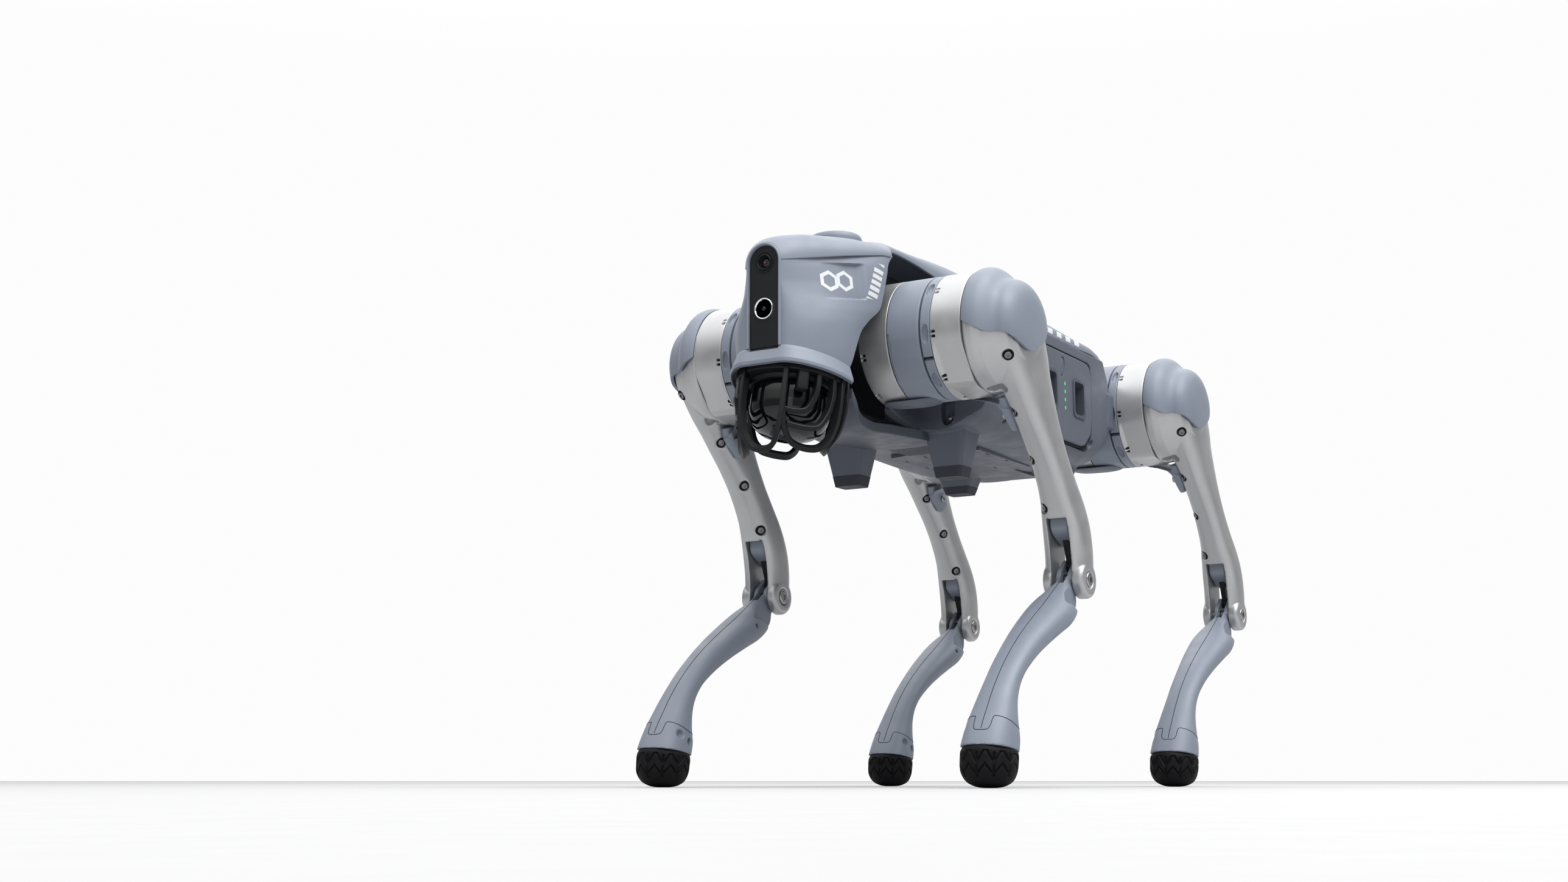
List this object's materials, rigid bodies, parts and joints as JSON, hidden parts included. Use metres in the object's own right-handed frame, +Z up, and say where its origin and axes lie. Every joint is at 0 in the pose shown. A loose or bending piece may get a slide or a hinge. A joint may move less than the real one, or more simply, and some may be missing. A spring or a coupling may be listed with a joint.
{
  "type": "quadruped robot dog",
  "caption": "Walking robot dog: trunk with camera head, caged spinning sensor, side battery and jointed legs driven by hip motors.",
  "frame": {"origin": "on the floor, under the middle of the robot's overall box", "axes": "+X forward, out of the camera face; +Y to the robot's left, the battery's side; +Z up"},
  "size_m": [0.6462, 0.332, 0.446],
  "materials": {
    "slate": "satin moulded plastic, blue grey",
    "dark_slate": "fine textured plastic, darker blue grey",
    "silver": "satin warm silver paint on cast metal",
    "steel": "machined steel",
    "black": "satin black plastic",
    "gloss_black": "polished black",
    "clear_lens": "clear moulded lens",
    "board": "green circuit board",
    "foot_rubber": "matt black rubber"
  },
  "bodies": {
    "trunk": {"chassis": "dark_slate", "top_cover": "slate", "antenna_puck": "slate", "head_shell": "slate", "face_plate": "gloss_black", "camera_module": "black", "front_lamp": "clear_lens", "lidar_base": "black", "lidar_guard": "black", "front_hip_motors": "steel", "rear_hip_motors": "steel", "main_board": "board", "belly_plate": "dark_slate"},
    "lidar": {"lidar_dome": "gloss_black"},
    "battery": {"battery_pack": "dark_slate"},
    "button": {"power_button": "slate"},
    "front_left_hip": {"front_left_hip_housing": "silver", "front_left_thigh_motor": "slate"},
    "front_left_upper": {"front_left_clamp_ring": "slate", "front_left_knee_motor": "silver", "front_left_thigh": "silver", "front_left_shoulder_cap": "slate", "front_left_knee_pin": "steel"},
    "front_left_lower": {"front_left_shank": "slate", "front_left_foot": "foot_rubber"},
    "front_left_crank": {"front_left_knee_crank": "steel"},
    "front_left_rod": {"front_left_push_rod": "black"},
    "front_right_hip": {"front_right_hip_housing": "silver", "front_right_thigh_motor": "slate"},
    "front_right_upper": {"front_right_clamp_ring": "slate", "front_right_knee_motor": "silver", "front_right_thigh": "silver", "front_right_shoulder_cap": "slate", "front_right_knee_pin": "steel"},
    "front_right_lower": {"front_right_shank": "slate", "front_right_foot": "foot_rubber"},
    "front_right_crank": {"front_right_knee_crank": "steel"},
    "front_right_rod": {"front_right_push_rod": "black"},
    "rear_left_hip": {"rear_left_hip_housing": "silver", "rear_left_thigh_motor": "slate"},
    "rear_left_upper": {"rear_left_clamp_ring": "slate", "rear_left_knee_motor": "silver", "rear_left_thigh": "silver", "rear_left_shoulder_cap": "slate", "rear_left_knee_pin": "steel"},
    "rear_left_lower": {"rear_left_shank": "slate", "rear_left_foot": "foot_rubber"},
    "rear_left_crank": {"rear_left_knee_crank": "steel"},
    "rear_left_rod": {"rear_left_push_rod": "black"},
    "rear_right_hip": {"rear_right_hip_housing": "silver", "rear_right_thigh_motor": "slate"},
    "rear_right_upper": {"rear_right_clamp_ring": "slate", "rear_right_knee_motor": "silver", "rear_right_thigh": "silver", "rear_right_shoulder_cap": "slate", "rear_right_knee_pin": "steel"},
    "rear_right_lower": {"rear_right_shank": "slate", "rear_right_foot": "foot_rubber"},
    "rear_right_crank": {"rear_right_knee_crank": "steel"},
    "rear_right_rod": {"rear_right_push_rod": "black"}
  },
  "joints": [
    {"name": "lidar_spin", "type": "hinge", "parent": "trunk", "child": "lidar", "pos_m": [0.275, 0, 0.309], "axis": [-0.2079, 0, 0.9781], "continuous": true},
    {"name": "battery_slide", "type": "slide", "parent": "trunk", "child": "battery", "axis": [0, 1, 0], "range_m": [0, 0.17]},
    {"name": "power_press", "type": "slide", "parent": "battery", "child": "button", "axis": [0, -1, 0], "range_m": [0, 0.0015], "stiffness_N_per_m": 800},
    {"name": "front_left_roll", "type": "hinge", "parent": "trunk", "child": "front_left_hip", "pos_m": [0.1804, 0.0465, 0.353], "axis": [1, 0, 0], "range_deg": [-35, 42]},
    {"name": "front_left_hip_swing", "type": "hinge", "parent": "front_left_hip", "child": "front_left_upper", "pos_m": [0.1804, 0.1445, 0.353], "axis": [0, 1, 0], "range_deg": [-118, 80]},
    {"name": "front_left_knee", "type": "hinge", "parent": "front_left_upper", "child": "front_left_lower", "pos_m": [0.0804, 0.1445, 0.16493], "axis": [0, -1, 0], "range_deg": [-28, 68]},
    {"name": "front_left_crank_turn", "type": "hinge", "parent": "front_left_upper", "child": "front_left_crank", "pos_m": [0.1804, 0.1445, 0.353], "axis": [0, -1, 0], "range_deg": [-28, 68]},
    {"name": "front_left_rod_turn", "type": "hinge", "parent": "front_left_crank", "child": "front_left_rod", "pos_m": [0.17553, 0.1445, 0.36505], "axis": [0, -1, 0], "range_deg": [-68, 28]},
    {"name": "front_right_roll", "type": "hinge", "parent": "trunk", "child": "front_right_hip", "pos_m": [0.1804, -0.0465, 0.353], "axis": [1, 0, 0], "range_deg": [-42, 35]},
    {"name": "front_right_hip_swing", "type": "hinge", "parent": "front_right_hip", "child": "front_right_upper", "pos_m": [0.1804, -0.1445, 0.353], "axis": [0, 1, 0], "range_deg": [-118, 80]},
    {"name": "front_right_knee", "type": "hinge", "parent": "front_right_upper", "child": "front_right_lower", "pos_m": [0.0804, -0.1445, 0.16493], "axis": [0, -1, 0], "range_deg": [-28, 68]},
    {"name": "front_right_crank_turn", "type": "hinge", "parent": "front_right_upper", "child": "front_right_crank", "pos_m": [0.1804, -0.1445, 0.353], "axis": [0, -1, 0], "range_deg": [-28, 68]},
    {"name": "front_right_rod_turn", "type": "hinge", "parent": "front_right_crank", "child": "front_right_rod", "pos_m": [0.17553, -0.1445, 0.36505], "axis": [0, -1, 0], "range_deg": [-68, 28]},
    {"name": "rear_left_roll", "type": "hinge", "parent": "trunk", "child": "rear_left_hip", "pos_m": [-0.2064, 0.0465, 0.353], "axis": [1, 0, 0], "range_deg": [-35, 48]},
    {"name": "rear_left_hip_swing", "type": "hinge", "parent": "rear_left_hip", "child": "rear_left_upper", "pos_m": [-0.2064, 0.1445, 0.353], "axis": [0, 1, 0], "range_deg": [-33, 170]},
    {"name": "rear_left_knee", "type": "hinge", "parent": "rear_left_upper", "child": "rear_left_lower", "pos_m": [-0.3064, 0.1445, 0.16493], "axis": [0, -1, 0], "range_deg": [-28, 68]},
    {"name": "rear_left_crank_turn", "type": "hinge", "parent": "rear_left_upper", "child": "rear_left_crank", "pos_m": [-0.2064, 0.1445, 0.353], "axis": [0, -1, 0], "range_deg": [-28, 68]},
    {"name": "rear_left_rod_turn", "type": "hinge", "parent": "rear_left_crank", "child": "rear_left_rod", "pos_m": [-0.21127, 0.1445, 0.36505], "axis": [0, -1, 0], "range_deg": [-68, 28]},
    {"name": "rear_right_roll", "type": "hinge", "parent": "trunk", "child": "rear_right_hip", "pos_m": [-0.2064, -0.0465, 0.353], "axis": [1, 0, 0], "range_deg": [-48, 35]},
    {"name": "rear_right_hip_swing", "type": "hinge", "parent": "rear_right_hip", "child": "rear_right_upper", "pos_m": [-0.2064, -0.1445, 0.353], "axis": [0, 1, 0], "range_deg": [-33, 170]},
    {"name": "rear_right_knee", "type": "hinge", "parent": "rear_right_upper", "child": "rear_right_lower", "pos_m": [-0.3064, -0.1445, 0.16493], "axis": [0, -1, 0], "range_deg": [-28, 68]},
    {"name": "rear_right_crank_turn", "type": "hinge", "parent": "rear_right_upper", "child": "rear_right_crank", "pos_m": [-0.2064, -0.1445, 0.353], "axis": [0, -1, 0], "range_deg": [-28, 68]},
    {"name": "rear_right_rod_turn", "type": "hinge", "parent": "rear_right_crank", "child": "rear_right_rod", "pos_m": [-0.21127, -0.1445, 0.36505], "axis": [0, -1, 0], "range_deg": [-68, 28]}
  ],
  "couplings": [
    {"joint": "front_left_crank_turn", "follows": "front_left_knee", "ratio": 1},
    {"joint": "front_left_rod_turn", "follows": "front_left_knee", "ratio": -1},
    {"joint": "front_right_crank_turn", "follows": "front_right_knee", "ratio": 1},
    {"joint": "front_right_rod_turn", "follows": "front_right_knee", "ratio": -1},
    {"joint": "rear_left_crank_turn", "follows": "rear_left_knee", "ratio": 1},
    {"joint": "rear_left_rod_turn", "follows": "rear_left_knee", "ratio": -1},
    {"joint": "rear_right_crank_turn", "follows": "rear_right_knee", "ratio": 1},
    {"joint": "rear_right_rod_turn", "follows": "rear_right_knee", "ratio": -1}
  ]
}
